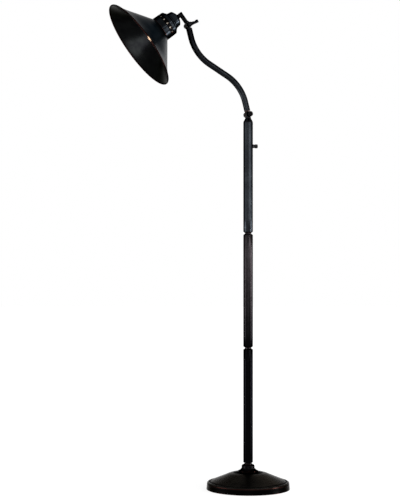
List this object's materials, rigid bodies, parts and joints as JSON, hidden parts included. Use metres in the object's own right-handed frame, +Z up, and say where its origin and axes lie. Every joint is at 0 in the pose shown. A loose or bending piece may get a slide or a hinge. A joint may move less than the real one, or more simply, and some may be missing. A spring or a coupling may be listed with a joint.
{
  "type": "adjustable floor lamp",
  "caption": "Floor lamp with a weighted round base, a straight jointed column, an S-bent tilting arm and a wide spun metal shade on a clamped knuckle.",
  "frame": {"origin": "centre of the flat underside of the base's felt pad, on the floor", "axes": "+Z up along the column; the arm leans towards -X; both knuckles turn about Y, with their clamps on the -Y side; the switch dial is on +X and the cord bushing on +Y"},
  "size_m": [0.5543, 0.2856, 1.4571],
  "materials": {
    "lacquered_steel": "semi-gloss dark bronze lacquer",
    "shade_lacquer": "semi-gloss dark bronze lacquer, a little lighter",
    "bright_steel": "zinc plated",
    "black_steel": "black oxide",
    "cast_weight": "as cast",
    "felt": "black felt",
    "black_rubber": "matt",
    "black_plastic": "fine texture",
    "fibre": "pale vulcanised fibre",
    "pale_enamel": "satin cream enamel",
    "holder_black": "moulded, glossy",
    "brass": "bare"
  },
  "bodies": {
    "stand": {"felt_pad": "felt", "base_weight": "cast_weight", "base_cover": "lacquered_steel", "base_washer": "bright_steel", "base_nut": "bright_steel", "base_rod": "bright_steel", "cord_bushing": "black_rubber", "base_collar": "lacquered_steel", "lower_tube": "lacquered_steel", "lower_coupler": "lacquered_steel", "middle_tube": "lacquered_steel", "upper_coupler": "lacquered_steel", "upper_tube": "lacquered_steel", "column_cap": "lacquered_steel", "column_swivel": "lacquered_steel", "switch_body": "black_plastic", "switch_ring_nut": "black_steel", "lower_friction_disc": "fibre", "lower_clamp_washer": "black_steel"},
    "switch_dial": {"switch_knob": "black_plastic"},
    "arm": {"arm_tube": "lacquered_steel", "arm_lower_swivel": "lacquered_steel", "arm_upper_swivel": "lacquered_steel", "lower_clamp_bolt": "lacquered_steel", "upper_clamp_bolt": "lacquered_steel", "lower_head_washer": "black_steel", "upper_head_washer": "black_steel"},
    "arm_clamp": {"clamp_knob": "lacquered_steel"},
    "head_clamp": {"tilt_lever": "lacquered_steel"},
    "head": {"shade_elbow": "lacquered_steel", "upper_friction_disc": "fibre", "upper_clamp_washer": "black_steel", "cap_nipple": "bright_steel", "cap_locknut": "bright_steel", "shade_cap": "shade_lacquer", "vent_collar": "shade_lacquer", "light_baffle": "pale_enamel", "lamp_holder": "holder_black", "terminal_screws": "brass", "screw_shell": "brass", "centre_contact": "brass", "shade_ring": "holder_black", "shade": "shade_lacquer"}
  },
  "joints": [
    {"name": "arm_tilt", "type": "hinge", "parent": "stand", "child": "arm", "pos_m": [0, 0, 1.1425], "axis": [0, -1, 0], "range_deg": [-35, 50]},
    {"name": "head_tilt", "type": "hinge", "parent": "arm", "child": "head", "pos_m": [-0.18877, 0, 1.40701], "axis": [0, -1, 0], "range_deg": [-60, 45]},
    {"name": "clamp_knob_turn", "type": "hinge", "parent": "arm", "child": "arm_clamp", "pos_m": [0, 0, 1.1425], "axis": [0, -1, 0], "range_deg": [0, 180]},
    {"name": "tilt_lever_turn", "type": "hinge", "parent": "arm", "child": "head_clamp", "pos_m": [-0.18877, 0, 1.40701], "axis": [0, -1, 0], "range_deg": [0, 180]},
    {"name": "switch_turn", "type": "hinge", "parent": "stand", "child": "switch_dial", "pos_m": [0, 0, 1.0456], "axis": [1, 0, 0], "continuous": true}
  ]
}
